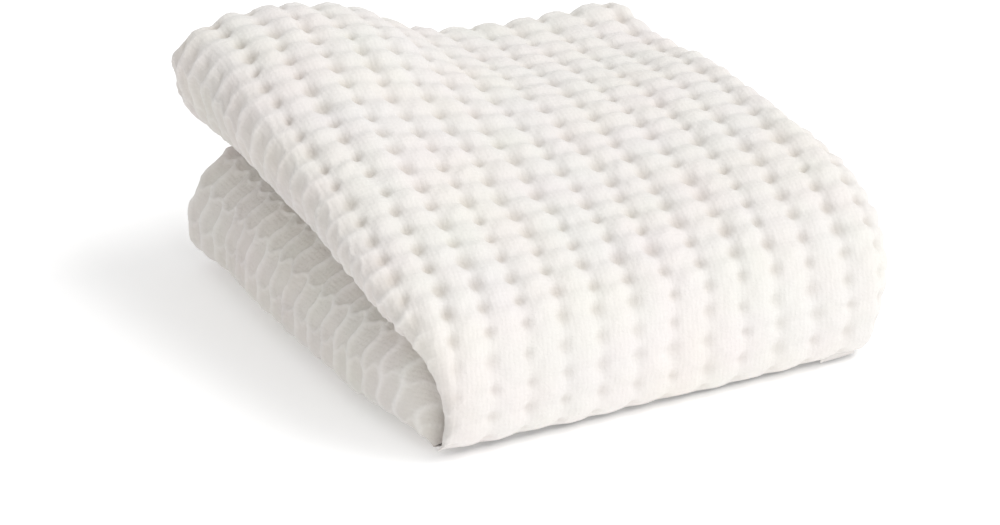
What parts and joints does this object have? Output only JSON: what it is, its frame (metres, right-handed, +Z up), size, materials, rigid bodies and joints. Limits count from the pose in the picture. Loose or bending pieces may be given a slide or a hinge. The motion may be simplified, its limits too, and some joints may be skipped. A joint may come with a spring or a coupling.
{
  "type": "folded throw blanket",
  "caption": "Thick off-white waffle-weave cotton throw, folded to a rounded square pad whose last fold opens at the front.",
  "frame": {"origin": "on the surface the blanket rests on, under the centre of its box", "axes": "+Z up; +X from the closed roll at the left to the hemmed side at the right; +Y from the last fold at the front to the back"},
  "size_m": [0.328, 0.326, 0.1673],
  "materials": {
    "cloth": "puffy waffle-weave cotton, matt with a soft fuzz",
    "cloth_inside": "same waffle-weave cotton on the inner folds",
    "hem": "plain woven cotton turned twice, matt",
    "thread": "smooth spun sewing thread",
    "label": "blank satin ribbon"
  },
  "bodies": {
    "lower_half": {"lower_cover": "cloth", "lower_leaves": "cloth_inside", "lower_side_hem": "hem", "lower_hem_stitches": "thread", "care_label": "label"},
    "front_fold": {"front_band": "cloth"},
    "upper_half": {"upper_cover": "cloth", "upper_leaves": "cloth_inside", "upper_side_hem": "hem", "upper_hem_stitches": "thread"}
  },
  "joints": [
    {"name": "fold_foot", "type": "hinge", "parent": "lower_half", "child": "front_fold", "pos_m": [0, -0.1505, 0.0125], "axis": [1, 0, 0], "range_deg": [0, 90]},
    {"name": "fold_brow", "type": "hinge", "parent": "front_fold", "child": "upper_half", "pos_m": [0, -0.143, 0.054], "axis": [1, 0, 0], "range_deg": [0, 54]}
  ],
  "couplings": [
    {"joint": "fold_brow", "follows": "fold_foot", "ratio": 0.6}
  ]
}
